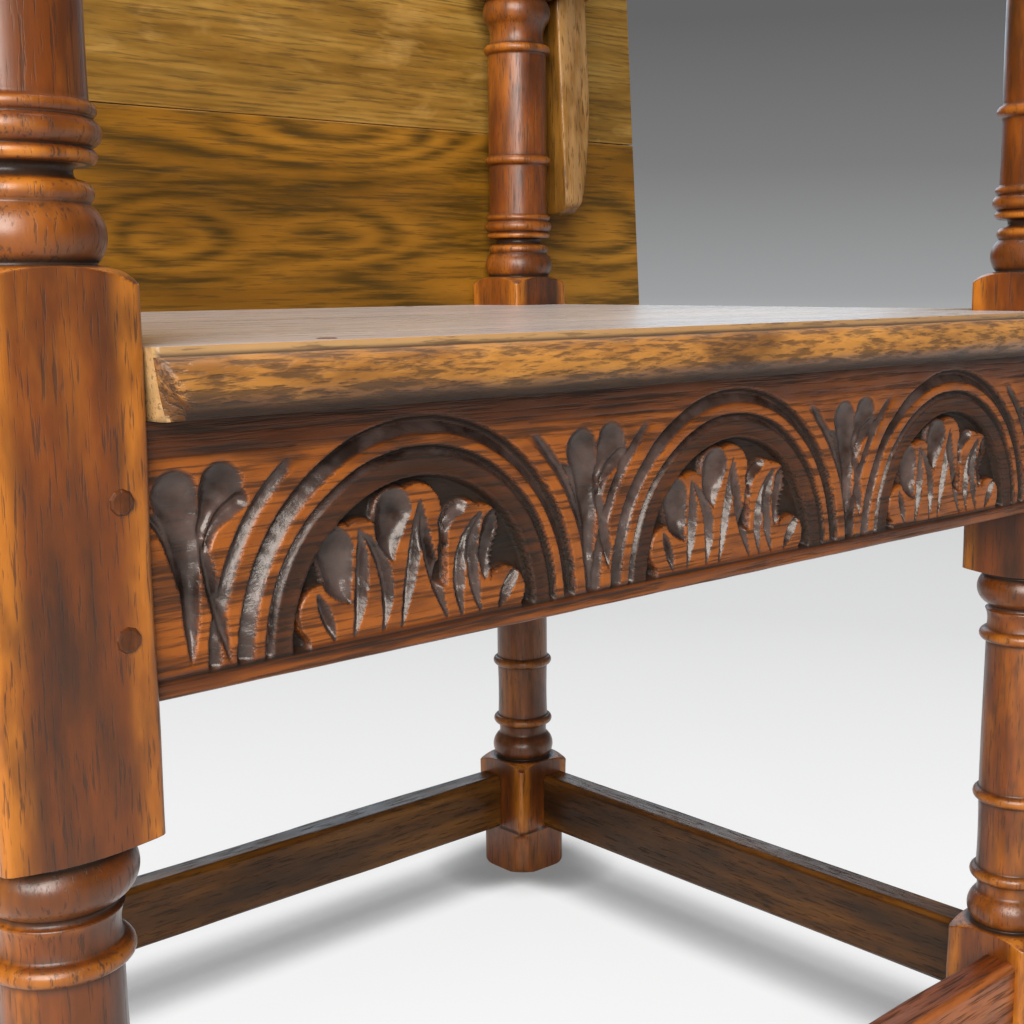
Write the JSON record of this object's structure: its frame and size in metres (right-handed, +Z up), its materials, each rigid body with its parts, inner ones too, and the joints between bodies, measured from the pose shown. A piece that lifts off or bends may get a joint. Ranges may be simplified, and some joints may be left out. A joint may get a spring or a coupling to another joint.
{
  "type": "settle bench",
  "caption": "Oak settle bench with turned posts, open arms, a carved lunette apron and a back that tilts down over the arms to make a table.",
  "frame": {"origin": "on the floor, midway between the four posts", "axes": "+X along the bench, to the right as seen from in front; +Y from the front to the back; +Z up"},
  "size_m": [0.904, 0.567, 1.153],
  "materials": {
    "turned_oak": "waxed, reddish brown",
    "carved_oak": "waxed, worn orange brown on the high spots, near black in the cuts",
    "rail_oak": "waxed, dark",
    "dark_oak": "waxed, very dark",
    "seat_oak": "polished by use",
    "top_oak": "waxed, olive brown",
    "peg_oak": "waxed, dark"
  },
  "bodies": {
    "frame": {"front_left_post": "turned_oak", "front_right_post": "turned_oak", "rear_left_post": "turned_oak", "rear_right_post": "turned_oak", "front_apron": "carved_oak", "rear_rail": "rail_oak", "left_rail": "rail_oak", "right_rail": "rail_oak", "front_stretcher": "dark_oak", "rear_stretcher": "dark_oak", "left_stretcher": "dark_oak", "right_stretcher": "dark_oak", "seat_front_board": "seat_oak", "seat_rear_board": "seat_oak", "seat_bearer": "rail_oak", "left_arm": "turned_oak", "right_arm": "turned_oak", "front_apron_pegs": "peg_oak", "rear_rail_pegs": "peg_oak", "left_rail_pegs": "peg_oak", "right_rail_pegs": "peg_oak", "stretcher_pegs": "peg_oak", "seat_pegs": "peg_oak", "left_pivot_peg": "peg_oak", "right_pivot_peg": "peg_oak"},
    "top": {"top_board_1": "top_oak", "top_board_2": "top_oak", "top_board_3": "top_oak", "top_board_4": "top_oak", "top_board_5": "top_oak", "left_bearer": "top_oak", "right_bearer": "top_oak", "top_pegs": "peg_oak"}
  },
  "joints": [
    {"name": "top_hinge", "type": "hinge", "parent": "frame", "child": "top", "pos_m": [0, 0.2145, 0.6925], "axis": [1, 0, 0], "range_deg": [0, 93.56]}
  ]
}
